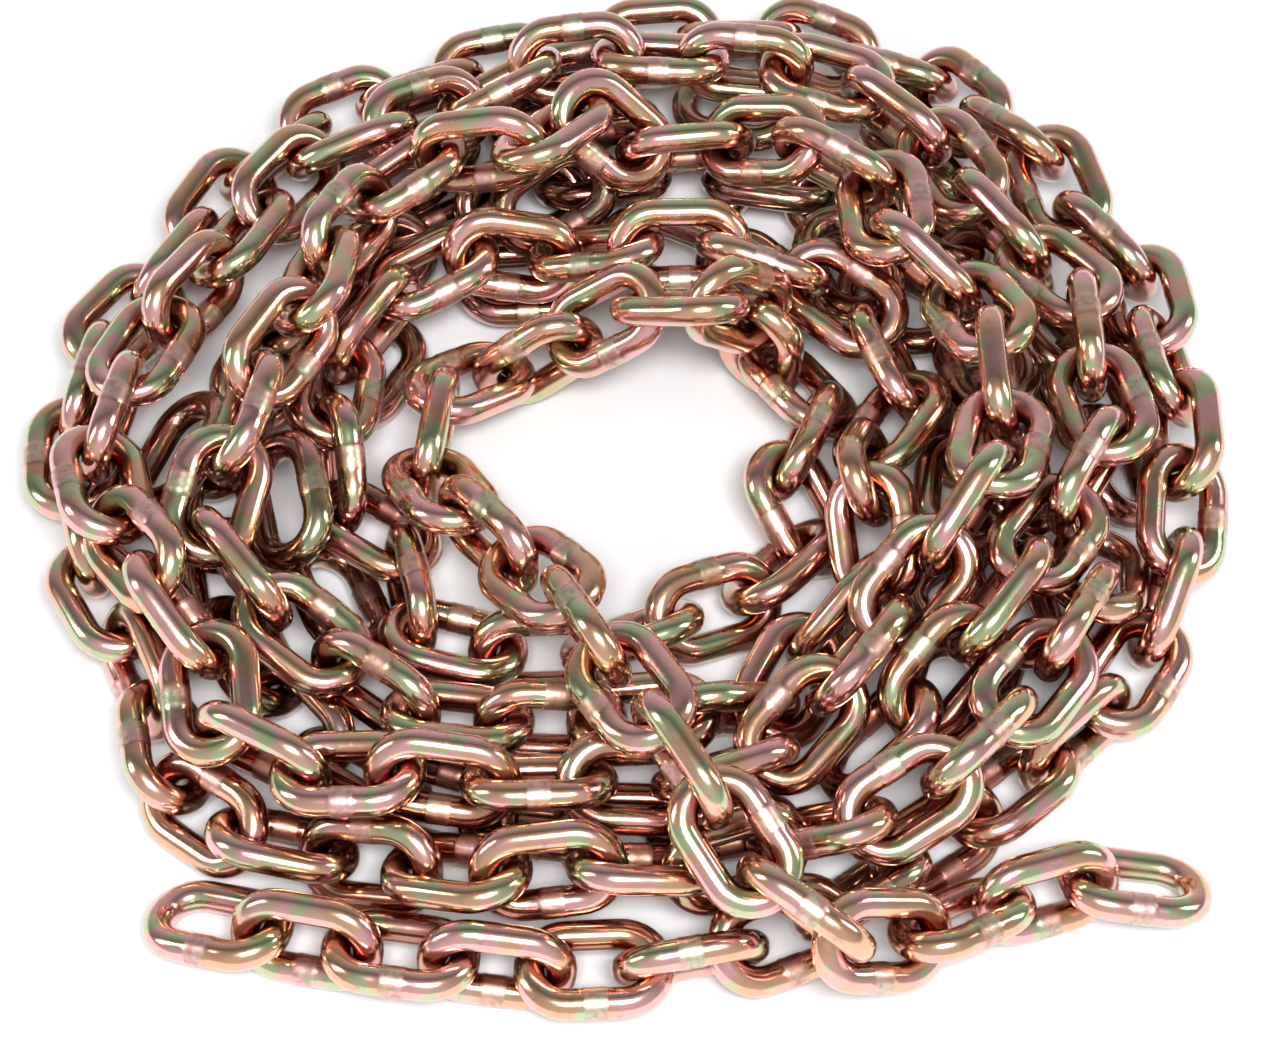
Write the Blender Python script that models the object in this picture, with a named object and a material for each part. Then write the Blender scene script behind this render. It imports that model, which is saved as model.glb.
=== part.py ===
"""A coiled heap of short-link steel transport chain, lying loose on a level floor.

Metres, +Z up. The origin is on the floor, under the middle of the heap.
The chain is one run: a tail along the front, an outer turn on the floor, a hidden turn under the
others, turns that wind inward to the hole, and a last stretch that crosses the heap to the second
tail. Hooks are the points where two links bear on each other. Their first places are a route
chosen by hand, and the links are then eased apart until their wires only touch.
"""

import math

import bpy
import numpy as np

MM = 0.001

# Driving sizes of the chain, in millimetres
WIRE = 10.0
INSIDE_LENGTH = 31.0
INSIDE_WIDTH = 14.0

# What follows from them
CROWN = (INSIDE_WIDTH + WIRE) / 2
LEG = (INSIDE_LENGTH + WIRE) / 2 - CROWN
REACH = LEG + CROWN
BEARING = WIRE + 0.4
PITCH = 2 * REACH - BEARING
TOUCH = WIRE + 0.8
LINKED = WIRE + 0.3

# The hidden turn, as a plain low bank on the floor that follows it
CORE_WIDTH = 24.0
CORE_TOP = 22.0
CORE_BEVEL = 5.0
CORE_PIECES = 8
CORE_GAP = 0.4
CORE_CLEAR_LINKS = 1

# The view in which the route was read: every point of it was seen on a level 30 mm above the floor
VIEW_ELEVATION = math.radians(56)
VIEW_DISTANCE = 1200.0
EYE = VIEW_DISTANCE * np.array((0.0, -math.cos(VIEW_ELEVATION), math.sin(VIEW_ELEVATION)))
READ_LEVEL = 30.0

# The route, in millimetres: x and y of each link's middle as read, its height, and how it is seen:
# FACE is face-on, EDGE is edge-on, and a number is its lean in degrees, inner or left side up.
# Links with no such mark alternate. Where two points are further apart than a link, the links
# between them are added by rule.
FACE = "face"
EDGE = "edge"
WHOLE_PITCH_MARGIN = 0.2
FRONT_TAIL = [
    (-136, -169, 8, -15), (-104, -177, 13, 56), (-76, -176, 9, -15), (-43, -183, 14, 67),
    (-13, -188, 9, -4), (18, -183, 14, -72), (49, -180, 9, 20), (72, -158, 13, EDGE),
    (97, -141, 12, FACE), (121, -124, 13, EDGE), (145, -102, 14), (165, -80, 18, FACE),
]
OUTER_TURN = [
    (177, -44, 26, EDGE), (184, -15, 24), (186, 13, 22, FACE), (181, 48, 28, EDGE),
    (182, 75, 30, FACE), (167, 100, 28, EDGE), (152, 127, 28, FACE), (138, 148, 24, EDGE),
    (118, 166, 20), (96, 178, 16), (69, 190, 13), (41, 194, 13), (11, 195, 13), (-19, 189, 13),
    (-49, 180, 13), (-78, 171, 14, EDGE), (-106, 157, 17, FACE), (-129, 139, 20), (-147, 115, 22),
    (-160, 90, 22), (-178, 65, 20, FACE), (-188, 37, 17), (-190, 7, 15), (-185, -23, 14),
    (-173, -51, 14), (-158, -79, 14), (-150, -107, 14), (-134, -131, 14, FACE),
    (-109, -143, 13, EDGE), (-81, -152, 13), (-54, -159, 13, EDGE), (-26, -158, 13, FACE),
    (4, -157, 13), (34, -155, 13), (63, -146, 17), (90, -132, 24, FACE), (112, -109, 29),
    (129, -84, 32), (147, -60, 26), (160, -34, 18),
]
HIDDEN_TURN = [
    (167, -18, 13), (169, 12, 13), (164, 42, 13), (153, 72, 13), (136, 98, 13), (113, 122, 13),
    (84, 136, 13), (52, 145, 13), (20, 148, 13), (-12, 146, 13), (-42, 140, 13), (-72, 126, 13),
    (-98, 107, 13), (-120, 82, 13), (-135, 55, 13), (-143, 25, 13), (-145, -5, 13), (-140, -35, 13),
    (-130, -64, 13), (-112, -90, 13), (-88, -110, 13), (-60, -122, 13), (-30, -128, 13),
    (0, -130, 13), (30, -128, 13), (58, -118, 13),
]
SECOND_TURN = [
    (82, -102, 26, FACE), (103, -78, 32, FACE), (124, -52, 34, EDGE), (141, -27, 36, FACE),
    (157, 1, 36, EDGE), (166, 29, 36, FACE), (161, 60, 38, EDGE), (154, 87, 38, FACE),
    (130, 107, 38, EDGE), (117, 137, 38, FACE), (95, 156, 38, EDGE), (75, 180, 36, FACE),
    (43, 183, 34, FACE), (10, 187, 34, EDGE), (-24, 190, 34, FACE), (-52, 171, 34, EDGE),
    (-76, 158, 34, FACE), (-100, 146, 34, EDGE), (-124, 130, 34, FACE), (-138, 103, 34, EDGE),
    (-155, 80, 34, EDGE), (-168, 53, 34, FACE), (-177, 24, 32, EDGE), (-179, -6, 32, FACE),
    (-166, -33, 32, FACE), (-150, -60, 32), (-137, -88, 30), (-118, -112, 28),
    (-92, -118, 30, FACE), (-62, -122, 34, FACE), (-31, -120, 34, EDGE), (-2, -124, 32),
    (28, -118, 32), (54, -103, 32),
]
THIRD_TURN = [
    (78, -66, 36, EDGE), (97, -44, 38, FACE), (109, -13, 40, EDGE), (131, 11, 42, FACE),
    (122, 42, 42, EDGE), (127, 72, 44, FACE), (101, 88, 44, EDGE), (93, 121, 44, FACE),
    (70, 131, 44, EDGE), (49, 150, 42, FACE), (20, 140, 40, EDGE), (-6, 151, 42, FACE),
    (-30, 139, 40, FACE), (-56, 142, 40, EDGE), (-84, 136, 42, FACE), (-98, 108, 42, EDGE),
    (-108, 84, 40, FACE), (-121, 54, 42, FACE), (-134, 25, 40, EDGE), (-141, -6, 38),
    (-136, -40, 38, EDGE), (-104, -62, 38, FACE), (-84, -86, 34), (-55, -92, 32, EDGE),
    (-24, -99, 30, FACE), (6, -98, 28), (33, -92, 28, EDGE),
]
FOURTH_TURN = [
    (51, -84, 28, FACE), (68, -58, 30, EDGE), (82, -28, 36, FACE), (73, -1, 36, EDGE),
    (86, 19, 34, FACE), (92, 46, 34, EDGE), (77, 72, 28, FACE), (45, 97, 24, EDGE),
    (12, 100, 22, FACE), (-20, 97, 24, EDGE), (-37, 93, 24, FACE), (-74, 90, 26, EDGE),
    (-92, 62, 30), (-101, 40, 34, FACE), (-100, 6, 30, EDGE), (-85, -34, 28, EDGE),
    (-68, -47, 30, FACE), (-62, -72, 26), (-33, -76, 22, FACE), (3, -67, 22, EDGE),
]
INNER_TURN = [
    (27, -48, 24, FACE), (51, -41, 22, EDGE), (59, -14, 14, FACE), (60, 14, 12, EDGE),
    (67, 35, 16, FACE), (43, 50, 22, EDGE), (40, 73, 40, FACE), (17, 67, 38, EDGE),
    (-10, 67, 34, FACE), (-31, 45, 24, EDGE), (-57, 42, 20, FACE), (-64, 16, 18, EDGE),
    (-66, -10, 20, FACE),
]
OVER_HEAP = [
    (-46, -24, 30, EDGE), (-31, -41, 44, FACE), (-14, -58, 50, EDGE), (-3, -84, 52, FACE),
    (18, -108, 52, EDGE), (32, -145, 44, FACE), (58, -169, 26, EDGE), (75, -182, 13, 58),
    (105, -168, 9, -14), (133, -153, 14, 64), (164, -158, 8, -8),
]

# How the chain is settled. Links whose lean was read are the tails' links
LIE_SEED = 4
LIE_SPREAD = 13
MOST_ALIKE = 0.25
MOST_ALIKE_READ = 0.34
TURN_PULL = 0.1
TURN_PULL_READ = 0.3
PLACE_PULL = 0.15
PLACE_PULL_READ = 0.05
FALL = 0.15
FALL_READ = 0.3
FALL_EASING = 0.7
LIFT = 0.5
LIFT_FROM = 9.0
PULLED_STEPS = 220
FREE_STEPS = 180
EASE = 1.3
MOST_ROLL = 0.25
MOST_LEVER = 0.75
STRETCH_ROUNDS = 3
STRETCH_SHARE = 0.45
PRESS_FORWARD = 0.35
SEARCH_MARGIN = 7.4
CORE_CLEARANCE = 0.8
FLOOR_CLEARANCE = 0.7


def unit(vectors):
    return vectors / np.maximum(np.linalg.norm(vectors, axis=-1, keepdims=True), 1e-12)


def dot(a, b):
    return (a * b).sum(axis=-1)


def chord_radius(steps):
    """The radius at which the chords of a crown lie half outside its true arc and half inside."""
    return CROWN * 2 / (1 + math.cos(math.pi / 2 / steps))


def loop_points(steps=6):
    """Points along a link's centreline, in its own plane: along and across."""
    angles = np.linspace(-math.pi / 2, math.pi / 2, steps + 1)
    radius = chord_radius(steps)
    far = [(LEG + radius * math.cos(a), radius * math.sin(a)) for a in angles]
    near = [(-x, y) for x, y in reversed(far)]
    return np.array(far + [(0.0, radius)] + near + [(0.0, -radius)])


LOOP = loop_points()


def as_seen(x, y, z):
    """A point at height z that the view shows where it would show (x, y) on the reading level."""
    sight = np.array((x, y, READ_LEVEL)) - EYE
    return EYE + sight * (EYE[2] - z) / (EYE[2] - READ_LEVEL)


def route_links():
    """The middle of each link along the route, how it is seen, and whether it is hidden."""
    middles, lies, hidden = [], [], []
    outer = FRONT_TAIL + OUTER_TURN
    inner = SECOND_TURN + THIRD_TURN + FOURTH_TURN + INNER_TURN + OVER_HEAP
    for strand in (outer, HIDDEN_TURN, inner):
        for x, y, z, *lie in strand:
            middle = np.array((x, y, z) if strand is HIDDEN_TURN else as_seen(x, y, z), float)
            if middles:
                start = middles[-1]
                extra = round(float(np.linalg.norm(middle - start)) / PITCH - WHOLE_PITCH_MARGIN)
                extra = max(0, extra - 1)
                for k in range(extra):
                    middles.append(start + (middle - start) * (k + 1) / (extra + 1))
                    lies.append(EDGE if lies[-1] == FACE else FACE)
                    hidden.append(strand is HIDDEN_TURN)
            middles.append(middle)
            lies.append(lie[0] if lie else EDGE if lies[-1] == FACE else FACE)
            hidden.append(strand is HIDDEN_TURN)
    return np.array(middles), lies, np.array(hidden)


def first_hooks(middles):
    """Hooks halfway between the links' middles, and half a pitch past the ends."""
    halfway = (middles[:-1] + middles[1:]) / 2
    start = middles[0] - PITCH / 2 * unit(middles[1] - middles[0])
    end = middles[-1] + PITCH / 2 * unit(middles[-1] - middles[-2])
    return np.vstack([start, halfway, end])


def first_lie(hooks, lies):
    """The width direction of each link, from how it is seen."""
    along = unit(hooks[1:] - hooks[:-1])
    side = unit(np.cross((0.0, 0.0, 1.0), along))
    up = np.cross(along, side)
    view = np.array((0.0, -math.cos(VIEW_ELEVATION), math.sin(VIEW_ELEVATION)))
    edge_on = np.degrees(np.arctan2(up @ view, side @ view))
    spread = np.random.default_rng(LIE_SEED).uniform(-LIE_SPREAD, LIE_SPREAD, len(along))
    lean = [
        edge + turn if lie == EDGE else edge + 90 + turn if lie == FACE else lie
        for lie, edge, turn in zip(lies, edge_on, spread)
    ]
    lean = np.radians(lean)[:, None]
    return side * np.cos(lean) + up * np.sin(lean)


def poses(hooks, across):
    """Centre, length direction, width direction and bearing distance of each link."""
    chord = unit(hooks[1:] - hooks[:-1])
    across = unit(across - dot(across, chord)[:, None] * chord)
    press = chord[[*range(len(chord)), -1]].copy()
    bisector = unit(chord[:-1] + chord[1:])
    crossing = np.cross(across[:-1], across[1:])
    crossing *= np.sign(dot(crossing, bisector) + 1e-9)[:, None]
    press[1:-1] = unit(crossing + PRESS_FORWARD * bisector)
    start = hooks[:-1] - BEARING / 2 * press[:-1]
    end = hooks[1:] + BEARING / 2 * press[1:]
    length = np.linalg.norm(end - start, axis=1)
    along = (end - start) / length[:, None]
    across = unit(across - dot(across, along)[:, None] * along)
    return (start + end) / 2, along, across, length, press


def nearest_points(p, u, q, v):
    """The nearest points of two segments p to p + u and q to q + v, for rows of segments."""
    between = p - q
    uu, vv, uv = dot(u, u), dot(v, v), dot(u, v)
    ub, vb = dot(u, between), dot(v, between)
    spread = uu * vv - uv * uv
    s = np.where(spread > 1e-9, np.clip((uv * vb - ub * vv) / np.maximum(spread, 1e-9), 0, 1), 0.5)
    t = np.clip((uv * s + vb) / vv, 0, 1)
    s = np.clip((uv * t - ub) / uu, 0, 1)
    return p + u * s[:, None], q + v * t[:, None]


def touching(centre, along, across, shown):
    """The deepest contact of each pair of links: the two links, the points, the direction, the depth."""
    points = centre[:, None] + LOOP[None, :, :1] * along[:, None] + LOOP[None, :, 1:] * across[:, None]
    steps = np.roll(points, -1, axis=1) - points
    middles = points + steps / 2
    apart = np.linalg.norm(centre[:, None] - centre[None], axis=2)
    one, two = np.nonzero(np.triu(apart < 2 * REACH + TOUCH, 1) & (shown[:, None] & shown[None]))
    offset = middles[one][:, :, None] - middles[two][:, None]
    pair, a, b = np.nonzero((offset * offset).sum(axis=3) < (TOUCH + SEARCH_MARGIN) ** 2)
    first, second = one[pair], two[pair]
    p, q = nearest_points(points[first, a], steps[first, a], points[second, b], steps[second, b])
    gap = np.linalg.norm(p - q, axis=1)
    depth = np.where(second - first == 1, LINKED, TOUCH) - gap
    order = np.lexsort((-depth, pair))
    order = order[depth[order] > 0]
    deepest = np.unique(pair[order], return_index=True)[1]
    keep = order[deepest]
    direction = (p - q)[keep] / np.maximum(gap[keep], 1e-6)[:, None]
    return first[keep], second[keep], p[keep], q[keep], direction, depth[keep], points


def core_line():
    """The middle line of the bank that stands for the hidden turn."""
    return np.array(HIDDEN_TURN[CORE_CLEAR_LINKS : len(HIDDEN_TURN) - CORE_CLEAR_LINKS], float)[:, :2]


def ground(points):
    """The height that a wire's centreline can't go below: the floor, or the hidden turn."""
    line = core_line()
    start, step = line[:-1], line[1:] - line[:-1]
    offset = points[..., None, :2] - start
    along = np.clip((offset * step).sum(-1) / (step * step).sum(-1), 0, 1)
    away = np.linalg.norm(offset - along[..., None] * step, axis=-1).min(axis=-1)
    clear = WIRE / 2 + CORE_CLEARANCE
    height = np.full(away.shape, WIRE / 2 + FLOOR_CLEARANCE)
    for drop in (0, CORE_BEVEL / 2, CORE_BEVEL):
        beyond = np.maximum(away - (CORE_WIDTH / 2 - CORE_BEVEL + drop), 0)
        over_edge = CORE_TOP - drop + np.sqrt(np.maximum(clear**2 - beyond**2, 0))
        height = np.where(beyond < clear, np.maximum(height, over_edge), height)
    return height


class Moves:
    """Gathers the small moves that the contacts ask of the hooks and of each link's roll."""

    def __init__(self, hooks, centre, along):
        self.centre, self.along = centre, along
        self.shift = np.zeros_like(hooks)
        self.shares = np.zeros(len(hooks))
        self.roll = np.zeros(len(centre))
        self.rolls = np.zeros(len(centre))

    def lever(self, link, point, direction):
        """How much a push at the point moves the two hooks and the roll, and how freely it gives."""
        arm = point - self.centre[link]
        reach = dot(arm, self.along[link])
        part = np.clip(reach / PITCH, -MOST_LEVER, MOST_LEVER)
        turn = dot(np.cross(self.along[link], arm - reach[:, None] * self.along[link]), direction)
        return 0.5 - part, 0.5 + part, turn, (0.5 - part) ** 2 + (0.5 + part) ** 2 + turn**2 / CROWN**2

    def push(self, link, lever, amount, direction):
        near, far, turn, _ = lever
        for hook, part in ((link, near), (link + 1, far)):
            np.add.at(self.shift, hook, (amount * part)[:, None] * direction)
            np.add.at(self.shares, hook, np.abs(part))
        np.add.at(self.roll, link, amount * turn / CROWN**2)
        np.add.at(self.rolls, link, 1)


def ease_apart(moves, contacts, shown):
    one, two, p, q, direction, depth, points = contacts
    first = moves.lever(one, p, direction)
    second = moves.lever(two, q, direction)
    amount = depth / (first[3] + second[3])
    moves.push(one, first, amount, direction)
    moves.push(two, second, -amount, direction)
    sunk = np.where(shown[:, None], ground(points) - points[:, :, 2], -1)
    for end in (LOOP[:, 0] > 0, LOOP[:, 0] <= 0):
        lowest = np.where(end, sunk, -np.inf).argmax(axis=1)
        link = np.nonzero(sunk[np.arange(len(sunk)), lowest] > 0)[0]
        up = np.tile((0.0, 0.0, 1.0), (len(link), 1))
        lever = moves.lever(link, points[link, lowest[link]], up)
        moves.push(link, lever, sunk[link, lowest[link]] / lever[3], up)


def keep_crossed(along, across, most):
    """The roll that keeps each link nearly square to the next one."""
    near = dot(across[:-1], across[1:])
    excess = near - np.clip(near, -most, most)
    first = dot(np.cross(along[:-1], across[:-1]), across[1:])
    second = dot(np.cross(along[1:], across[1:]), across[:-1])
    total = first**2 + second**2 + 1e-3
    roll = np.zeros(len(along))
    roll[:-1] -= excess * first / total
    roll[1:] -= excess * second / total
    return roll


def settle(middles, across, shown, read):
    """Lets the chain down from above, pulls it to its route and eases the wires apart."""
    sight = unit(middles - EYE) * shown[:, None]
    lift = LIFT * np.maximum(middles[:, 2:] - LIFT_FROM, 0)
    hooks = first_hooks(middles + lift * sight / np.minimum(sight[:, 2:], -1e-3))
    goal_across = across.copy()
    turn_pull = np.where(read, TURN_PULL_READ, TURN_PULL)[:, None]
    place_pull = np.where(read, PLACE_PULL_READ, PLACE_PULL)[:, None]
    by_read = np.append(read, read[-1]) | np.append(read[0], read)
    falls = np.where(by_read, FALL_READ, FALL)
    most_alike = np.where(read[:-1] & read[1:], MOST_ALIKE_READ, MOST_ALIKE)
    for step in range(PULLED_STEPS + FREE_STEPS):
        centre, along, across, length, _ = poses(hooks, across)
        moves = Moves(hooks, centre, along)
        ease_apart(moves, touching(centre, along, across, shown), shown)
        hooks = hooks + EASE * moves.shift / np.maximum(moves.shares, 1)[:, None]
        roll = moves.roll / np.maximum(moves.rolls, 1) + keep_crossed(along, across, most_alike)
        roll = np.clip(roll, -MOST_ROLL, MOST_ROLL)[:, None]
        across = unit(across * np.cos(roll) + np.cross(along, across) * np.sin(roll))
        if step < PULLED_STEPS:
            hooks[:, 2] -= falls * (1 - FALL_EASING * step / PULLED_STEPS)
            off = middles - centre
            off = place_pull * (off - dot(off, sight)[:, None] * sight)
            hooks[:-1] += off
            hooks[1:] += off
            same_way = np.where(dot(across, goal_across) < 0, -1, 1)[:, None]
            across = unit(across + turn_pull * (same_way * goal_across - across))
        for _ in range(STRETCH_ROUNDS):
            for odd in (0, 1):
                centre, along, across, length, _ = poses(hooks, across)
                give = (STRETCH_SHARE * (length - 2 * REACH)[:, None] * along)[odd::2]
                hooks[:-1][odd::2] += give
                hooks[1:][odd::2] -= give
        # Rounding keeps the result the same on every computer
        hooks = np.round(hooks, 7)
        across = np.round(across, 9)
    return hooks, across


def lay_chain():
    middles, lies, hidden = route_links()
    read = np.array([lie not in (FACE, EDGE) for lie in lies])
    hooks, across = settle(middles, first_lie(first_hooks(middles), lies), ~hidden, read)
    return hooks, across, hidden


def link_stations(steps=4):
    """Stations around a link: centreline point, outward direction, end, and place in the crown."""
    stations = []
    radius = chord_radius(steps)
    for end in (1, -1):
        for k in range(steps + 1):
            a = math.radians(-90 + 180 * k / steps)
            outward = (end * math.cos(a), end * math.sin(a))
            at = (end * LEG + radius * outward[0], radius * outward[1])
            stations.append((at, outward, end, k in range(1, steps), 2 * k == steps))
    return stations


def link_mesh(centre, along, across, neighbours, reaches, sides):
    """One link as a tube of flat facets, with an edge turned to the link that bears on each crown.

    neighbours are the directions to the two links' wires, and reaches are how far the edge stands
    from this wire's centre there.
    """
    normal = np.cross(along, across)
    rings = []
    for (x, y), (ox, oy), end, in_crown, apex in link_stations():
        middle = centre + x * along + y * across
        outward = ox * along + oy * across
        toward, reach = neighbours[(end + 1) // 2], reaches[(end + 1) // 2]
        turn = math.atan2(toward @ normal, toward @ along * end) if in_crown else math.pi
        for k in range(sides):
            a = turn + 2 * math.pi * k / sides
            radius = FULL_RADIUS if k or not in_crown else reach if apex else SLIM_RADIUS
            ray = math.cos(a) * outward + math.sin(a) * normal
            rings.append(tuple((middle + radius * ray) * MM))
    count = len(rings)
    faces = []
    for start in range(0, count, sides):
        for k in range(sides):
            a, b = start + k, start + (k + 1) % sides
            c, d = (b + sides) % count, (a + sides) % count
            faces.append((a, d, c, b))
    return rings, faces


# Nodes: the links that show one by one are separate, and the others share a node in short runs
FRONT_SINGLES = 6
LAST_SINGLES = 10
RUNS = 36
SINGLE_SIDES = 6
RUN_SIDES = 5
FULL_RADIUS = 5.15
SLIM_RADIUS = 4.7
REST_GAP = 0.1
REST_REACH = (BEARING - REST_GAP) / 2
JOINED_DEPTH = 0.8
JOINED_REACH = BEARING / 2 + JOINED_DEPTH

# Colours of the plating, in the light and in the heap's own shade
PLATED_COLOUR = (0.83, 0.62, 0.42)
PLATED_ROUGHNESS = 0.22
SHADED_COLOUR = (0.42, 0.28, 0.18)
SHADED_ROUGHNESS = 0.35


def new_material(name, colour, roughness):
    material = bpy.data.materials.new(name)
    material.use_nodes = True
    shader = material.node_tree.nodes["Principled BSDF"]
    shader.inputs["Base Color"].default_value = (*colour, 1)
    shader.inputs["Metallic"].default_value = 1.0
    shader.inputs["Roughness"].default_value = roughness
    return material


def new_object(name, points, faces, material, smooth):
    mesh = bpy.data.meshes.new(name)
    mesh.from_pydata(points, [], faces)
    mesh.materials.append(material)
    if smooth:
        mesh.shade_smooth()
    obj = bpy.data.objects.new(name, mesh)
    bpy.context.scene.collection.objects.link(obj)
    return obj


def joined(parts):
    points, faces = [], []
    for more_points, more_faces in parts:
        faces += [tuple(i + len(points) for i in face) for face in more_faces]
        points += more_points
    return points, faces


def node_spans(hidden, tightness):
    """First and last link of each node. A run ends at the bearing with the most room nearby."""
    count = len(hidden)
    singles = [(k, k) for k in (*range(FRONT_SINGLES), *range(count - LAST_SINGLES, count))]
    under = np.nonzero(hidden)[0]
    stretches = ((FRONT_SINGLES, under[0]), (under[-1] + 1, count - LAST_SINGLES))
    total = sum(stop - start for start, stop in stretches)
    spans = []
    for start, stop in stretches:
        runs = round(RUNS * (stop - start) / total)
        edges = [start + round((stop - start) * k / runs) for k in range(runs + 1)]
        edges[1:-1] = [min((k - 1, k, k + 1), key=lambda e: tightness[e - 1]) for k in edges[1:-1]]
        spans += [(a, b - 1) for a, b in zip(edges[:-1], edges[1:])]
    return sorted(singles + spans)


def bearing_tightness(centre, along, across, hidden):
    """How deep the two wires at each bearing press into each other, in millimetres."""
    first, second, _, _, _, depth, _ = touching(centre, along, across, ~hidden)
    tightness = np.zeros(len(hidden))
    linked = second - first == 1
    tightness[first[linked]] = depth[linked]
    return tightness


def span_name(first, last, count):
    if first < FRONT_SINGLES:
        return f"front_tail_link_{first + 1}"
    if first >= count - LAST_SINGLES:
        return f"crossing_link_{first - (count - LAST_SINGLES) + 1}"
    return f"chain_run_{first + 1:03d}_{last + 1:03d}"


def make_links(hooks, across, hidden, material):
    centre, along, across, _, press = poses(hooks, across)
    tightness = bearing_tightness(centre, along, across, hidden)
    for first, last in node_spans(hidden, tightness):
        sides = SINGLE_SIDES if first == last else RUN_SIDES
        meshes = []
        for k in range(first, last + 1):
            neighbours = (press[k], -press[k + 1])
            near_reach = JOINED_REACH if k > first else REST_REACH
            far_reach = JOINED_REACH if k < last else REST_REACH
            reaches = (near_reach, far_reach)
            meshes.append(link_mesh(centre[k], along[k], across[k], neighbours, reaches, sides))
        name = span_name(first, last, len(hidden))
        obj = new_object(name, *joined(meshes[0::2]), material, True)
        if len(meshes) > 1:
            others = new_object(name + "_rest", *joined(meshes[1::2]), material, True)
            others.hide_render = True
            others.display_type = "WIRE"
            union = obj.modifiers.new("bearings", "BOOLEAN")
            union.operation = "UNION"
            union.object = others


def make_core(material):
    """The bank that stands for the hidden turn, in pieces end to end, with its top edges cut off."""
    half, low = CORE_WIDTH / 2, CORE_TOP - CORE_BEVEL
    top_half = half - CORE_BEVEL
    profile = [(half, 0), (half, low), (top_half, CORE_TOP)]
    profile += [(-top_half, CORE_TOP), (-half, low), (-half, 0)]
    line = core_line()
    step = unit(line[1:] - line[:-1])
    forward = unit(np.vstack([step[:1], step[:-1] + step[1:], step[-1:]]))
    left = np.column_stack([-forward[:, 1], forward[:, 0]])
    edges = [round(k * (len(line) - 1) / CORE_PIECES) for k in range(CORE_PIECES + 1)]
    n = len(profile)
    for piece, (first, last) in enumerate(zip(edges[:-1], edges[1:])):
        points = []
        for k in range(first, last + 1):
            gap = CORE_GAP / 2 * (1 if k == first else -1 if k == last else 0)
            for side, z in profile:
                x, y = line[k] + side * left[k] + gap * forward[k]
                points.append((x * MM, y * MM, z * MM))
        steps = last - first
        faces = [tuple(reversed(range(n))), tuple(steps * n + k for k in range(n))]
        for k in range(steps):
            for m in range(n):
                a, b = k * n + m, k * n + (m + 1) % n
                faces.append((b, b + n, a + n, a))
        new_object(f"hidden_turn_{piece + 1}", points, faces, material, False)


def centre_on_origin():
    """Moves the middle of the heap's box over the origin. The hidden turn's flat bottom is at 0."""
    nodes = [o for o in bpy.context.scene.objects if not o.hide_render]
    points = np.array([v.co for o in nodes for v in o.data.vertices])
    x, y, _ = (points.min(axis=0) + points.max(axis=0)) / 2
    for obj in bpy.context.scene.objects:
        obj.location = (-float(x), -float(y), 0)


def main():
    for obj in list(bpy.data.objects):
        bpy.data.objects.remove(obj, do_unlink=True)
    plated = new_material("yellow_plated_steel", PLATED_COLOUR, PLATED_ROUGHNESS)
    dark = new_material("shaded_steel", SHADED_COLOUR, SHADED_ROUGHNESS)
    hooks, across, hidden = lay_chain()
    make_links(hooks, across, hidden, plated)
    make_core(dark)
    centre_on_origin()


if __name__ == "__main__":
    main()
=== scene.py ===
"""Looks of a coiled heap of plated steel transport chain, built around its CAD frame.

Every link is laid where the CAD part has it, as a round wire with its weld. The hidden turn is laid
as links too, and a few loose links lie low under the turns, where the part has none; these are
painted darker as shade, and red-brown shade is painted wherever wires close in. Lengths inside
the layout are millimetres, and the scene is in metres.
"""

import math

import bpy
import numpy as np
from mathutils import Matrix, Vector, kdtree


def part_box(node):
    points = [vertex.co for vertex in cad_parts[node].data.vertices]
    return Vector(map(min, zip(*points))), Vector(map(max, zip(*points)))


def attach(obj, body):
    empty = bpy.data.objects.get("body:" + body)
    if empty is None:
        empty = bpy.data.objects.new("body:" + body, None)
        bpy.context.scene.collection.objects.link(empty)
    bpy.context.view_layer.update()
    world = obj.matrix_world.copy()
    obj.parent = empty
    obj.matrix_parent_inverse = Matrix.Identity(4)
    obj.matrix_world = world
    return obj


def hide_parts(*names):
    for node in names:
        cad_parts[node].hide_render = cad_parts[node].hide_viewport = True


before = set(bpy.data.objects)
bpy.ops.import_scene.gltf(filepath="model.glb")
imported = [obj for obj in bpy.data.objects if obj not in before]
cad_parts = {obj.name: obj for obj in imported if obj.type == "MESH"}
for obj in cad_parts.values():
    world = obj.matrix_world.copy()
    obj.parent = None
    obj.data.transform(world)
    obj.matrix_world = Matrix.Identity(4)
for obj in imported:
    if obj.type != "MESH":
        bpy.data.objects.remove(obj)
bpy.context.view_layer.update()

bl_info = {
    "name": "Heap of plated chain",
    "version": (1, 0, 0),
    "blender": (4, 5, 0),
    "location": "3D View > Sidebar > Chain heap",
    "description": "Lays the plated links of a coiled chain over its CAD frame, and lights them",
    "category": "Object",
}

MM = 0.001

# Driving sizes of the chain, in millimetres
WIRE = 10.0
INSIDE_LENGTH = 31.0
INSIDE_WIDTH = 14.0

# What follows from them
CROWN = (INSIDE_WIDTH + WIRE) / 2
LEG = (INSIDE_LENGTH + WIRE) / 2 - CROWN
REACH = LEG + CROWN
BEARING = WIRE + 0.4
PITCH = 2 * REACH - BEARING
TOUCH = WIRE + 0.8
LINKED = WIRE + 0.3

# The hidden turn, as a plain low bank on the floor that follows it
CORE_WIDTH = 24.0
CORE_TOP = 22.0
CORE_BEVEL = 5.0
CORE_CLEAR_LINKS = 1

# The view in which the route was read: every point of it was seen on a level 30 mm above the floor
VIEW_ELEVATION = math.radians(56)
VIEW_DISTANCE = 1200.0
EYE = VIEW_DISTANCE * np.array((0.0, -math.cos(VIEW_ELEVATION), math.sin(VIEW_ELEVATION)))
READ_LEVEL = 30.0

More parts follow.
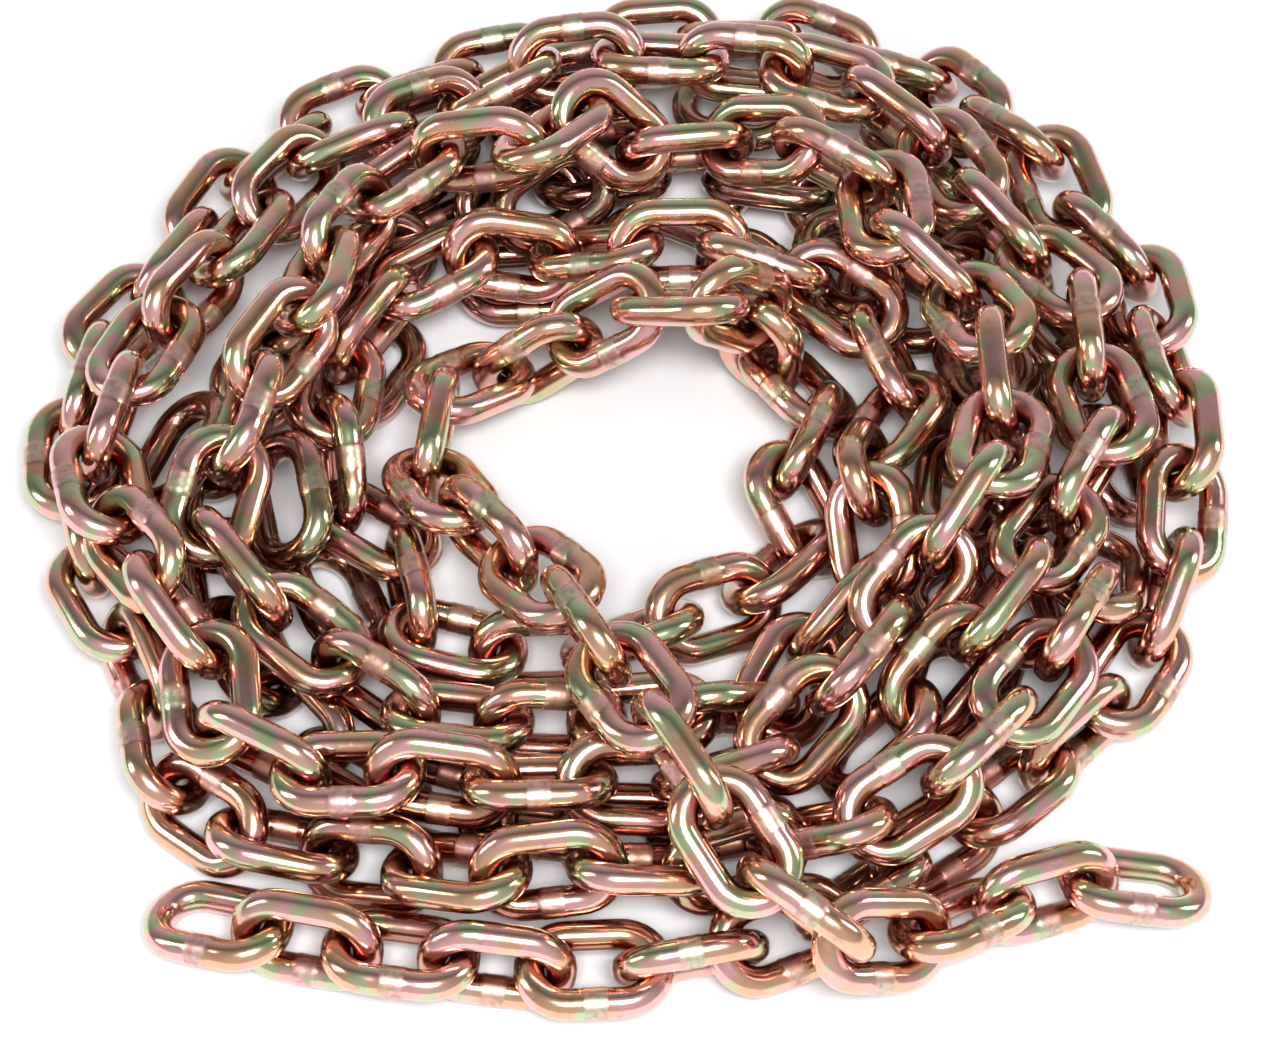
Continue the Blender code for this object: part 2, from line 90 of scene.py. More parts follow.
# The route, in millimetres: x and y of each link's middle as read, its height, and how it is seen:
# FACE is face-on, EDGE is edge-on, and a number is its lean in degrees, inner or left side up.
# Links with no such mark alternate. Where two points are further apart than a link, the links
# between them are added by rule.
FACE = "face"
EDGE = "edge"
WHOLE_PITCH_MARGIN = 0.2
FRONT_TAIL = [
    (-136, -169, 8, -15), (-104, -177, 13, 56), (-76, -176, 9, -15), (-43, -183, 14, 67),
    (-13, -188, 9, -4), (18, -183, 14, -72), (49, -180, 9, 20), (72, -158, 13, EDGE),
    (97, -141, 12, FACE), (121, -124, 13, EDGE), (145, -102, 14), (165, -80, 18, FACE),
]
OUTER_TURN = [
    (177, -44, 26, EDGE), (184, -15, 24), (186, 13, 22, FACE), (181, 48, 28, EDGE),
    (182, 75, 30, FACE), (167, 100, 28, EDGE), (152, 127, 28, FACE), (138, 148, 24, EDGE),
    (118, 166, 20), (96, 178, 16), (69, 190, 13), (41, 194, 13), (11, 195, 13), (-19, 189, 13),
    (-49, 180, 13), (-78, 171, 14, EDGE), (-106, 157, 17, FACE), (-129, 139, 20), (-147, 115, 22),
    (-160, 90, 22), (-178, 65, 20, FACE), (-188, 37, 17), (-190, 7, 15), (-185, -23, 14),
    (-173, -51, 14), (-158, -79, 14), (-150, -107, 14), (-134, -131, 14, FACE),
    (-109, -143, 13, EDGE), (-81, -152, 13), (-54, -159, 13, EDGE), (-26, -158, 13, FACE),
    (4, -157, 13), (34, -155, 13), (63, -146, 17), (90, -132, 24, FACE), (112, -109, 29),
    (129, -84, 32), (147, -60, 26), (160, -34, 18),
]
HIDDEN_TURN = [
    (167, -18, 13), (169, 12, 13), (164, 42, 13), (153, 72, 13), (136, 98, 13), (113, 122, 13),
    (84, 136, 13), (52, 145, 13), (20, 148, 13), (-12, 146, 13), (-42, 140, 13), (-72, 126, 13),
    (-98, 107, 13), (-120, 82, 13), (-135, 55, 13), (-143, 25, 13), (-145, -5, 13), (-140, -35, 13),
    (-130, -64, 13), (-112, -90, 13), (-88, -110, 13), (-60, -122, 13), (-30, -128, 13),
    (0, -130, 13), (30, -128, 13), (58, -118, 13),
]
SECOND_TURN = [
    (82, -102, 26, FACE), (103, -78, 32, FACE), (124, -52, 34, EDGE), (141, -27, 36, FACE),
    (157, 1, 36, EDGE), (166, 29, 36, FACE), (161, 60, 38, EDGE), (154, 87, 38, FACE),
    (130, 107, 38, EDGE), (117, 137, 38, FACE), (95, 156, 38, EDGE), (75, 180, 36, FACE),
    (43, 183, 34, FACE), (10, 187, 34, EDGE), (-24, 190, 34, FACE), (-52, 171, 34, EDGE),
    (-76, 158, 34, FACE), (-100, 146, 34, EDGE), (-124, 130, 34, FACE), (-138, 103, 34, EDGE),
    (-155, 80, 34, EDGE), (-168, 53, 34, FACE), (-177, 24, 32, EDGE), (-179, -6, 32, FACE),
    (-166, -33, 32, FACE), (-150, -60, 32), (-137, -88, 30), (-118, -112, 28),
    (-92, -118, 30, FACE), (-62, -122, 34, FACE), (-31, -120, 34, EDGE), (-2, -124, 32),
    (28, -118, 32), (54, -103, 32),
]
THIRD_TURN = [
    (78, -66, 36, EDGE), (97, -44, 38, FACE), (109, -13, 40, EDGE), (131, 11, 42, FACE),
    (122, 42, 42, EDGE), (127, 72, 44, FACE), (101, 88, 44, EDGE), (93, 121, 44, FACE),
    (70, 131, 44, EDGE), (49, 150, 42, FACE), (20, 140, 40, EDGE), (-6, 151, 42, FACE),
    (-30, 139, 40, FACE), (-56, 142, 40, EDGE), (-84, 136, 42, FACE), (-98, 108, 42, EDGE),
    (-108, 84, 40, FACE), (-121, 54, 42, FACE), (-134, 25, 40, EDGE), (-141, -6, 38),
    (-136, -40, 38, EDGE), (-104, -62, 38, FACE), (-84, -86, 34), (-55, -92, 32, EDGE),
    (-24, -99, 30, FACE), (6, -98, 28), (33, -92, 28, EDGE),
]
FOURTH_TURN = [
    (51, -84, 28, FACE), (68, -58, 30, EDGE), (82, -28, 36, FACE), (73, -1, 36, EDGE),
    (86, 19, 34, FACE), (92, 46, 34, EDGE), (77, 72, 28, FACE), (45, 97, 24, EDGE),
    (12, 100, 22, FACE), (-20, 97, 24, EDGE), (-37, 93, 24, FACE), (-74, 90, 26, EDGE),
    (-92, 62, 30), (-101, 40, 34, FACE), (-100, 6, 30, EDGE), (-85, -34, 28, EDGE),
    (-68, -47, 30, FACE), (-62, -72, 26), (-33, -76, 22, FACE), (3, -67, 22, EDGE),
]
INNER_TURN = [
    (27, -48, 24, FACE), (51, -41, 22, EDGE), (59, -14, 14, FACE), (60, 14, 12, EDGE),
    (67, 35, 16, FACE), (43, 50, 22, EDGE), (40, 73, 40, FACE), (17, 67, 38, EDGE),
    (-10, 67, 34, FACE), (-31, 45, 24, EDGE), (-57, 42, 20, FACE), (-64, 16, 18, EDGE),
    (-66, -10, 20, FACE),
]
OVER_HEAP = [
    (-46, -24, 30, EDGE), (-31, -41, 44, FACE), (-14, -58, 50, EDGE), (-3, -84, 52, FACE),
    (18, -108, 52, EDGE), (32, -145, 44, FACE), (58, -169, 26, EDGE), (75, -182, 13, 58),
    (105, -168, 9, -14), (133, -153, 14, 64), (164, -158, 8, -8),
]

# How the chain is settled. Links whose lean was read are the tails' links
LIE_SEED = 4
LIE_SPREAD = 13
MOST_ALIKE = 0.25
MOST_ALIKE_READ = 0.34
TURN_PULL = 0.1
TURN_PULL_READ = 0.3
PLACE_PULL = 0.15
PLACE_PULL_READ = 0.05
FALL = 0.15
FALL_READ = 0.3
FALL_EASING = 0.7
LIFT = 0.5
LIFT_FROM = 9.0
PULLED_STEPS = 220
FREE_STEPS = 180
EASE = 1.3
MOST_ROLL = 0.25
MOST_LEVER = 0.75
STRETCH_ROUNDS = 3
STRETCH_SHARE = 0.45
PRESS_FORWARD = 0.35
SEARCH_MARGIN = 7.4
CORE_CLEARANCE = 0.8
FLOOR_CLEARANCE = 0.7

# The links under the turns, which show only through the gaps
LOWER_LOOP_STEPS = 6
OUTER_LINKS = slice(6, 52)
INNER_LINKS = slice(139, 173)
HOLE_MIDDLE = np.array((0.0, 10.0))
LOWER_SEED = 5
LOWER_TRIES = 16000
LOWER_FROM_HOLE = 14.0
LOWER_FROM_EDGE = 20.0
LOWER_TURN = 0.5
LOWER_LEAN = 0.7
LOWER_RISE = 20.0
LOWER_APART = 8.8
MOST_LOWER_LINKS = 88
LOWER_LEAST_BAND = 20.0
LOWER_DIP = 0.12
ANGLE_BINS = 72

# The links' detail
HIDDEN_LEAN = 36.0
LEG_STEPS = 3
WELD_STEPS = 16
CROWN_STEPS = 16
RING_SIDES = 22
WELD_LOOKS = 5
FRONT_SINGLES = 6
LAST_SINGLES = 10
NEAR_LINKS = 62.0
BURIED_REACH = 15.0
LINK_SEED = 11
HIDDEN_ABOVE_FLOOR = 0.3

# The weld: its collar, the lip at each end of it and its ripples, as shares of the weld's height
COLLAR_HEIGHT = 0.45
LIP_HEIGHT = 0.45
LIP_WIDTH = 0.7
LIP_SHOWS = 0.6
RIPPLE_HEIGHT = 0.3
RIPPLES = 3
RIPPLE_PITCH = 1.1
RIPPLE_PITCH_STEP = 0.9

# The strands: the first and last link of each
STRANDS = {
    "front_tail": (0, 5),
    "outer_turn": (6, 51),
    "second_turn": (78, 111),
    "third_turn": (112, 138),
    "fourth_turn": (139, 158),
    "inner_turn": (159, 172),
    "crossing_tail": (173, 182),
}

# The plating: the scale of its patches, in noise waves a metre, and how strongly each thing shows
BROAD_PATCHES = 55.0
CRISP_PATCHES = 90.0
STAINS = 210.0
MOTTLE = 420.0
WELD_GRAIN = 900.0
ROSE_RANGE = (0.42, 0.58)
GREEN_RANGE = (0.50, 0.62)
STAIN_RANGE = (0.56, 0.78)
MOTTLE_RANGE = (0.35, 0.7)
# Painted shade where wires meet: how closed in a point must be for it to come in
CREVICE_SHADE_RANGE = (1.2, 6.0)
STAIN_SHOWS = 0.45
WELD_SHOWS = 0.42
# How strongly the painted shade where wires meet shows
CREVICE_SHADE_SHOWS = 0.92
MOTTLE_ROUGHNESS = 0.08
STAIN_ROUGHNESS = 0.12
WELD_ROUGHNESS = 0.22
MOTTLE_BUMP = 0.5
WELD_BUMP = 1.5
BUMP_STRENGTH = 0.35
BUMP_DISTANCE = 0.00012
COAT_WEIGHT = 0.5
COAT_ROUGHNESS = 0.06
COAT_IOR = 1.5
# Painted shade: how far the hidden and lower links' plating is darkened towards near black
SHADED_DARKNESS = 0.3
NEAR_BLACK = (0.02, 0.012, 0.01, 1.0)

# The photograph's width and focal length, in its pixels, and the stage
PHOTO_WIDTH = 1280
PHOTO_FOCAL = 3521.0
SENSOR_WIDTH = 36.0
CLIP_START = 0.05
CLIP_END = 50.0
FLOOR_HALF = 6.0
FLOOR_TONES = 6.0
FLOOR_SHADE = 0.985
FLOOR_ROUGHNESS = 0.7
FLOOR_GLOSS = 0.2
KEY_PLACE = (0.15, -1.1, 1.9)
KEY_SIZE = (0.9, 0.45)
LEFT_PLACE = (-1.6, -0.2, 0.9)
RIGHT_PLACE = (1.6, 0.1, 0.9)
SIDE_SIZE = (0.35, 0.9)
WHITE = (1.0, 1.0, 1.0)
WARM = (1.0, 0.96, 0.94)
COOL = (0.94, 1.0, 0.97)
WORLD_STOPS = (
    (0.0, (0.72, 0.72, 0.72, 1)),
    (0.45, (0.34, 0.35, 0.34, 1)),
    (0.62, (0.12, 0.13, 0.12, 1)),
    (1.0, (0.60, 0.60, 0.60, 1)),
)


def unit(vectors):
    return vectors / np.maximum(np.linalg.norm(vectors, axis=-1, keepdims=True), 1e-12)


def dot(a, b):
    return (a * b).sum(axis=-1)


def chord_radius(steps):
    """The radius at which the chords of a crown lie half outside its true arc and half inside."""
    return CROWN * 2 / (1 + math.cos(math.pi / 2 / steps))


def loop_points(steps=6):
    """Points along a link's centreline, in its own plane: along and across."""
    angles = np.linspace(-math.pi / 2, math.pi / 2, steps + 1)
    radius = chord_radius(steps)
    far = [(LEG + radius * math.cos(a), radius * math.sin(a)) for a in angles]
    near = [(-x, y) for x, y in reversed(far)]
    return np.array(far + [(0.0, radius)] + near + [(0.0, -radius)])


LOOP = loop_points()


def as_seen(x, y, z):
    """A point at height z that the view shows where it would show (x, y) on the reading level."""
    sight = np.array((x, y, READ_LEVEL)) - EYE
    return EYE + sight * (EYE[2] - z) / (EYE[2] - READ_LEVEL)


def route_links():
    """The middle of each link along the route, how it is seen, and whether it is hidden."""
    middles, lies, hidden = [], [], []
    outer = FRONT_TAIL + OUTER_TURN
    inner = SECOND_TURN + THIRD_TURN + FOURTH_TURN + INNER_TURN + OVER_HEAP
    for strand in (outer, HIDDEN_TURN, inner):
        for x, y, z, *lie in strand:
            middle = np.array((x, y, z) if strand is HIDDEN_TURN else as_seen(x, y, z), float)
            if middles:
                start = middles[-1]
                extra = round(float(np.linalg.norm(middle - start)) / PITCH - WHOLE_PITCH_MARGIN)
                extra = max(0, extra - 1)
                for k in range(extra):
                    middles.append(start + (middle - start) * (k + 1) / (extra + 1))
                    lies.append(EDGE if lies[-1] == FACE else FACE)
                    hidden.append(strand is HIDDEN_TURN)
            middles.append(middle)
            lies.append(lie[0] if lie else EDGE if lies[-1] == FACE else FACE)
            hidden.append(strand is HIDDEN_TURN)
    return np.array(middles), lies, np.array(hidden)


def first_hooks(middles):
    """Hooks halfway between the links' middles, and half a pitch past the ends."""
    halfway = (middles[:-1] + middles[1:]) / 2
    start = middles[0] - PITCH / 2 * unit(middles[1] - middles[0])
    end = middles[-1] + PITCH / 2 * unit(middles[-1] - middles[-2])
    return np.vstack([start, halfway, end])


def first_lie(hooks, lies):
    """The width direction of each link, from how it is seen."""
    along = unit(hooks[1:] - hooks[:-1])
    side = unit(np.cross((0.0, 0.0, 1.0), along))
    up = np.cross(along, side)
    view = np.array((0.0, -math.cos(VIEW_ELEVATION), math.sin(VIEW_ELEVATION)))
    edge_on = np.degrees(np.arctan2(up @ view, side @ view))
    spread = np.random.default_rng(LIE_SEED).uniform(-LIE_SPREAD, LIE_SPREAD, len(along))
    lean = [
        edge + turn if lie == EDGE else edge + 90 + turn if lie == FACE else lie
        for lie, edge, turn in zip(lies, edge_on, spread)
    ]
    lean = np.radians(lean)[:, None]
    return side * np.cos(lean) + up * np.sin(lean)


def poses(hooks, across):
    """Centre, length direction, width direction and bearing distance of each link."""
    chord = unit(hooks[1:] - hooks[:-1])
    across = unit(across - dot(across, chord)[:, None] * chord)
    press = chord[[*range(len(chord)), -1]].copy()
    bisector = unit(chord[:-1] + chord[1:])
    crossing = np.cross(across[:-1], across[1:])
    crossing *= np.sign(dot(crossing, bisector) + 1e-9)[:, None]
    press[1:-1] = unit(crossing + PRESS_FORWARD * bisector)
    start = hooks[:-1] - BEARING / 2 * press[:-1]
    end = hooks[1:] + BEARING / 2 * press[1:]
    length = np.linalg.norm(end - start, axis=1)
    along = (end - start) / length[:, None]
    across = unit(across - dot(across, along)[:, None] * along)
    return (start + end) / 2, along, across, length, press


def nearest_points(p, u, q, v):
    """The nearest points of two segments p to p + u and q to q + v, for rows of segments."""
    between = p - q
    uu, vv, uv = dot(u, u), dot(v, v), dot(u, v)
    ub, vb = dot(u, between), dot(v, between)
    spread = uu * vv - uv * uv
    s = np.where(spread > 1e-9, np.clip((uv * vb - ub * vv) / np.maximum(spread, 1e-9), 0, 1), 0.5)
    t = np.clip((uv * s + vb) / vv, 0, 1)
    s = np.clip((uv * t - ub) / uu, 0, 1)
    return p + u * s[:, None], q + v * t[:, None]


def touching(centre, along, across, shown):
    """The deepest contact of each pair of links: the two links, the points, the direction, the depth."""
    points = centre[:, None] + LOOP[None, :, :1] * along[:, None] + LOOP[None, :, 1:] * across[:, None]
    steps = np.roll(points, -1, axis=1) - points
    middles = points + steps / 2
    apart = np.linalg.norm(centre[:, None] - centre[None], axis=2)
    one, two = np.nonzero(np.triu(apart < 2 * REACH + TOUCH, 1) & (shown[:, None] & shown[None]))
    offset = middles[one][:, :, None] - middles[two][:, None]
    pair, a, b = np.nonzero((offset * offset).sum(axis=3) < (TOUCH + SEARCH_MARGIN) ** 2)
    first, second = one[pair], two[pair]
    p, q = nearest_points(points[first, a], steps[first, a], points[second, b], steps[second, b])
    gap = np.linalg.norm(p - q, axis=1)
    depth = np.where(second - first == 1, LINKED, TOUCH) - gap
    order = np.lexsort((-depth, pair))
    order = order[depth[order] > 0]
    deepest = np.unique(pair[order], return_index=True)[1]
    keep = order[deepest]
    direction = (p - q)[keep] / np.maximum(gap[keep], 1e-6)[:, None]
    return first[keep], second[keep], p[keep], q[keep], direction, depth[keep], points


def core_line():
    """The middle line of the bank that stands for the hidden turn."""
    return np.array(HIDDEN_TURN[CORE_CLEAR_LINKS : len(HIDDEN_TURN) - CORE_CLEAR_LINKS], float)[:, :2]


def ground(points):
    """The height that a wire's centreline can't go below: the floor, or the hidden turn."""
    line = core_line()
    start, step = line[:-1], line[1:] - line[:-1]
    offset = points[..., None, :2] - start
    along = np.clip((offset * step).sum(-1) / (step * step).sum(-1), 0, 1)
    away = np.linalg.norm(offset - along[..., None] * step, axis=-1).min(axis=-1)
    clear = WIRE / 2 + CORE_CLEARANCE
    height = np.full(away.shape, WIRE / 2 + FLOOR_CLEARANCE)
    for drop in (0, CORE_BEVEL / 2, CORE_BEVEL):
        beyond = np.maximum(away - (CORE_WIDTH / 2 - CORE_BEVEL + drop), 0)
        over_edge = CORE_TOP - drop + np.sqrt(np.maximum(clear**2 - beyond**2, 0))
        height = np.where(beyond < clear, np.maximum(height, over_edge), height)
    return height


class Moves:
    """Gathers the small moves that the contacts ask of the hooks and of each link's roll."""

    def __init__(self, hooks, centre, along):
        self.centre, self.along = centre, along
        self.shift = np.zeros_like(hooks)
        self.shares = np.zeros(len(hooks))
        self.roll = np.zeros(len(centre))
        self.rolls = np.zeros(len(centre))

    def lever(self, link, point, direction):
        """How much a push at the point moves the two hooks and the roll, and how freely it gives."""
        arm = point - self.centre[link]
        reach = dot(arm, self.along[link])
        part = np.clip(reach / PITCH, -MOST_LEVER, MOST_LEVER)
        turn = dot(np.cross(self.along[link], arm - reach[:, None] * self.along[link]), direction)
        return 0.5 - part, 0.5 + part, turn, (0.5 - part) ** 2 + (0.5 + part) ** 2 + turn**2 / CROWN**2

    def push(self, link, lever, amount, direction):
        near, far, turn, _ = lever
        for hook, part in ((link, near), (link + 1, far)):
            np.add.at(self.shift, hook, (amount * part)[:, None] * direction)
            np.add.at(self.shares, hook, np.abs(part))
        np.add.at(self.roll, link, amount * turn / CROWN**2)
        np.add.at(self.rolls, link, 1)


def ease_apart(moves, contacts, shown):
    one, two, p, q, direction, depth, points = contacts
    first = moves.lever(one, p, direction)
    second = moves.lever(two, q, direction)
    amount = depth / (first[3] + second[3])
    moves.push(one, first, amount, direction)
    moves.push(two, second, -amount, direction)
    sunk = np.where(shown[:, None], ground(points) - points[:, :, 2], -1)
    for end in (LOOP[:, 0] > 0, LOOP[:, 0] <= 0):
        lowest = np.where(end, sunk, -np.inf).argmax(axis=1)
        link = np.nonzero(sunk[np.arange(len(sunk)), lowest] > 0)[0]
        up = np.tile((0.0, 0.0, 1.0), (len(link), 1))
        lever = moves.lever(link, points[link, lowest[link]], up)
        moves.push(link, lever, sunk[link, lowest[link]] / lever[3], up)


def keep_crossed(along, across, most):
    """The roll that keeps each link nearly square to the next one."""
    near = dot(across[:-1], across[1:])
    excess = near - np.clip(near, -most, most)
    first = dot(np.cross(along[:-1], across[:-1]), across[1:])
    second = dot(np.cross(along[1:], across[1:]), across[:-1])
    total = first**2 + second**2 + 1e-3
    roll = np.zeros(len(along))
    roll[:-1] -= excess * first / total
    roll[1:] -= excess * second / total
    return roll


def settle(middles, across, shown, read):
    """Lets the chain down from above, pulls it to its route and eases the wires apart."""
    sight = unit(middles - EYE) * shown[:, None]
    lift = LIFT * np.maximum(middles[:, 2:] - LIFT_FROM, 0)
    hooks = first_hooks(middles + lift * sight / np.minimum(sight[:, 2:], -1e-3))
    goal_across = across.copy()
    turn_pull = np.where(read, TURN_PULL_READ, TURN_PULL)[:, None]
    place_pull = np.where(read, PLACE_PULL_READ, PLACE_PULL)[:, None]
    by_read = np.append(read, read[-1]) | np.append(read[0], read)
    falls = np.where(by_read, FALL_READ, FALL)
    most_alike = np.where(read[:-1] & read[1:], MOST_ALIKE_READ, MOST_ALIKE)
    for step in range(PULLED_STEPS + FREE_STEPS):
        centre, along, across, length, _ = poses(hooks, across)
        moves = Moves(hooks, centre, along)
        ease_apart(moves, touching(centre, along, across, shown), shown)
        hooks = hooks + EASE * moves.shift / np.maximum(moves.shares, 1)[:, None]
        roll = moves.roll / np.maximum(moves.rolls, 1) + keep_crossed(along, across, most_alike)
        roll = np.clip(roll, -MOST_ROLL, MOST_ROLL)[:, None]
        across = unit(across * np.cos(roll) + np.cross(along, across) * np.sin(roll))
        if step < PULLED_STEPS:
            hooks[:, 2] -= falls * (1 - FALL_EASING * step / PULLED_STEPS)
            off = middles - centre
            off = place_pull * (off - dot(off, sight)[:, None] * sight)
            hooks[:-1] += off
            hooks[1:] += off
            same_way = np.where(dot(across, goal_across) < 0, -1, 1)[:, None]
            across = unit(across + turn_pull * (same_way * goal_across - across))
        for _ in range(STRETCH_ROUNDS):
            for odd in (0, 1):
                centre, along, across, length, _ = poses(hooks, across)
                give = (STRETCH_SHARE * (length - 2 * REACH)[:, None] * along)[odd::2]
                hooks[:-1][odd::2] += give
                hooks[1:][odd::2] -= give
        # Rounding keeps tiny differences between computers from growing
        hooks = np.round(hooks, 7)
        across = np.round(across, 9)
    return hooks, across


def lay_chain():
    middles, lies, hidden = route_links()
    read = np.array([lie not in (FACE, EDGE) for lie in lies])
    hooks, across = settle(middles, first_lie(first_hooks(middles), lies), ~hidden, read)
    return hooks, across, hidden


def lay_hidden_turn(centre, along, across, hidden):
    """Lays the hidden links on the floor, leaning to the left and right by turns."""
    for k in np.nonzero(hidden)[0]:
        flat = along[k] * (1, 1, 0)
        along[k] = flat / np.linalg.norm(flat)
        side = np.cross((0.0, 0.0, 1.0), along[k])
        lean = math.radians(HIDDEN_LEAN if k % 2 else -HIDDEN_LEAN)
        across[k] = side * math.cos(lean) + np.array((0.0, 0.0, math.sin(lean)))
        centre[k, 2] = WIRE / 2 + HIDDEN_ABOVE_FLOOR + CROWN * math.sin(math.radians(HIDDEN_LEAN))
    return centre, along, across


def dense_points(centre, along, across):
    """Points a few millimetres apart on every link's centreline."""
    loop = loop_points(LOWER_LOOP_STEPS)
    loop = np.vstack([loop, (loop + np.roll(loop, -1, axis=0)) / 2])
    return centre[:, None] + loop[None, :, :1] * along[:, None] + loop[None, :, 1:] * across[:, None]


def reach_by_angle(points, pick):
    """The furthest or nearest of the points in each direction from the hole's middle."""
    offset = points - HOLE_MIDDLE
    angle = np.arctan2(offset[:, 1], offset[:, 0]) / (2 * math.pi) + 1
    place = (angle * ANGLE_BINS).astype(int) % ANGLE_BINS
    radius = np.linalg.norm(offset, axis=1)
    reach = [pick(radius[place == k]) if (place == k).any() else np.nan for k in range(ANGLE_BINS)]
    return np.array(reach)


def lay_lower_links(centre, along, across):
    """Links lying low under the turns, wherever no other wire is in their way."""
    laid = dense_points(centre, along, across)
    outer = reach_by_angle(centre[OUTER_LINKS][:, :2], np.max)
    inner = reach_by_angle(centre[INNER_LINKS][:, :2], np.min)
    outer = np.where(np.isnan(outer), np.nanmean(outer), outer)
    inner = np.where(np.isnan(inner), np.nanmean(inner), inner)
    wires = kdtree.KDTree(laid.shape[0] * laid.shape[1])
    for k, point in enumerate(laid.reshape(-1, 3)):
        wires.insert(point, k)
    wires.balance()
    rng = np.random.default_rng(LOWER_SEED)
    found, found_points = [], np.empty((0, 3))
    for _ in range(LOWER_TRIES):
        angle = rng.uniform(0, 2 * math.pi)
        place = int(angle / (2 * math.pi) * len(outer)) % len(outer)
        furthest = max(outer[place] - LOWER_FROM_EDGE, inner[place] + LOWER_LEAST_BAND)
        radius = rng.uniform(inner[place] + LOWER_FROM_HOLE, furthest)
        heading = angle + math.pi / 2 + rng.normal(0, LOWER_TURN)
        lean = rng.choice((-1, 1)) * rng.uniform(0, LOWER_LEAN)
        dip = rng.normal(0, LOWER_DIP)
        level = math.cos(dip)
        way = np.array((math.cos(heading) * level, math.sin(heading) * level, math.sin(dip)))
        side = unit(np.cross((0.0, 0.0, 1.0), way))
        width = side * math.cos(lean) + np.cross(way, side) * math.sin(lean)
        height = WIRE / 2 + FLOOR_CLEARANCE + CROWN * abs(width[2]) + LEG * abs(way[2])
        height += rng.uniform(0, LOWER_RISE)
        spot = HOLE_MIDDLE + radius * np.array((math.cos(angle), math.sin(angle)))
        middle = np.array((*spot, height))
        points = dense_points(middle[None], way[None], width[None])[0]
        if min(wires.find(point)[2] for point in points) < LOWER_APART:
            continue
        gaps = np.linalg.norm(points[:, None] - found_points[None], axis=2)
        if gaps.size and gaps.min() < LOWER_APART:
            continue
        found.append((middle, way, width))
        found_points = np.vstack([found_points, points])
        if len(found) == MOST_LOWER_LINKS:
            break
    return [np.array(rows) for rows in zip(*found)]


def centreline_stations():
    """Places around a link: the centreline's point, the way outward and the distance from the weld."""
    places = []
    far_off = LEG + WIRE
    for x in np.linspace(-LEG, LEG, WELD_STEPS + 1):
        places.append((x, -CROWN, 0.0, -1.0, x))
    for k in range(1, CROWN_STEPS):
        a = -math.pi / 2 + math.pi * k / CROWN_STEPS
        x, y = math.cos(a), math.sin(a)
        places.append((LEG + CROWN * x, CROWN * y, x, y, far_off))
    for x in np.linspace(LEG, -LEG, LEG_STEPS + 1):
        places.append((x, CROWN, 0.0, 1.0, far_off))
    for k in range(1, CROWN_STEPS):
        a = math.pi / 2 + math.pi * k / CROWN_STEPS
        x, y = math.cos(a), math.sin(a)
        places.append((-LEG + CROWN * x, CROWN * y, x, y, far_off))
    return np.array(places)


def link_template(rng, weld_height, weld_half):
    """The points of one link about its middle, each one's share of the weld, and the way it faces."""
    places = centreline_stations()
    turn = 2 * math.pi * np.arange(RING_SIDES) / RING_SIDES
    off = places[:, 4]
    collar = np.exp(-np.abs(off / weld_half) ** 4)
    lip = np.exp(-(((np.abs(off) - weld_half) / LIP_WIDTH) ** 2))
    wave = rng.normal(0, 1, (RIPPLES, 4))
    ripple = np.zeros((len(places), RING_SIDES))
    for n in range(RIPPLES):
        around = np.cos((n + 1) * turn + wave[n, 0])
        lengthwise = np.cos(off * (RIPPLE_PITCH + RIPPLE_PITCH_STEP * n) + wave[n, 1])
        ripple += wave[n, 2] * lengthwise[:, None] * around[None, :] / (n + 2)
    radius = WIRE / 2 + collar[:, None] * (weld_height * (COLLAR_HEIGHT + RIPPLE_HEIGHT * ripple))
    radius = radius + lip[:, None] * weld_height * LIP_HEIGHT
    out = places[:, None, 2] * np.cos(turn) * radius
    points = np.empty((len(places), RING_SIDES, 3))
    points[:, :, 0] = places[:, None, 0] + out
    points[:, :, 1] = places[:, None, 1] + places[:, None, 3] * np.cos(turn) * radius
    points[:, :, 2] = np.sin(turn) * radius
    weld = np.repeat(np.clip(collar + LIP_SHOWS * lip, 0, 1)[:, None], RING_SIDES, axis=1)
    facing = np.empty_like(points)
    facing[:, :, 0] = places[:, None, 2] * np.cos(turn)
    facing[:, :, 1] = places[:, None, 3] * np.cos(turn)
    facing[:, :, 2] = np.sin(turn)
    return points.reshape(-1, 3), weld.reshape(-1), facing.reshape(-1, 3)


def template_faces():
    rings = len(centreline_stations())
    near = np.arange(rings)[:, None] * RING_SIDES
    far = (np.arange(rings)[:, None] + 1) % rings * RING_SIDES
    k = np.arange(RING_SIDES)[None, :]
    after = (k + 1) % RING_SIDES
    return np.stack([near + k, far + k, far + after, near + after], axis=-1).reshape(-1, 4)


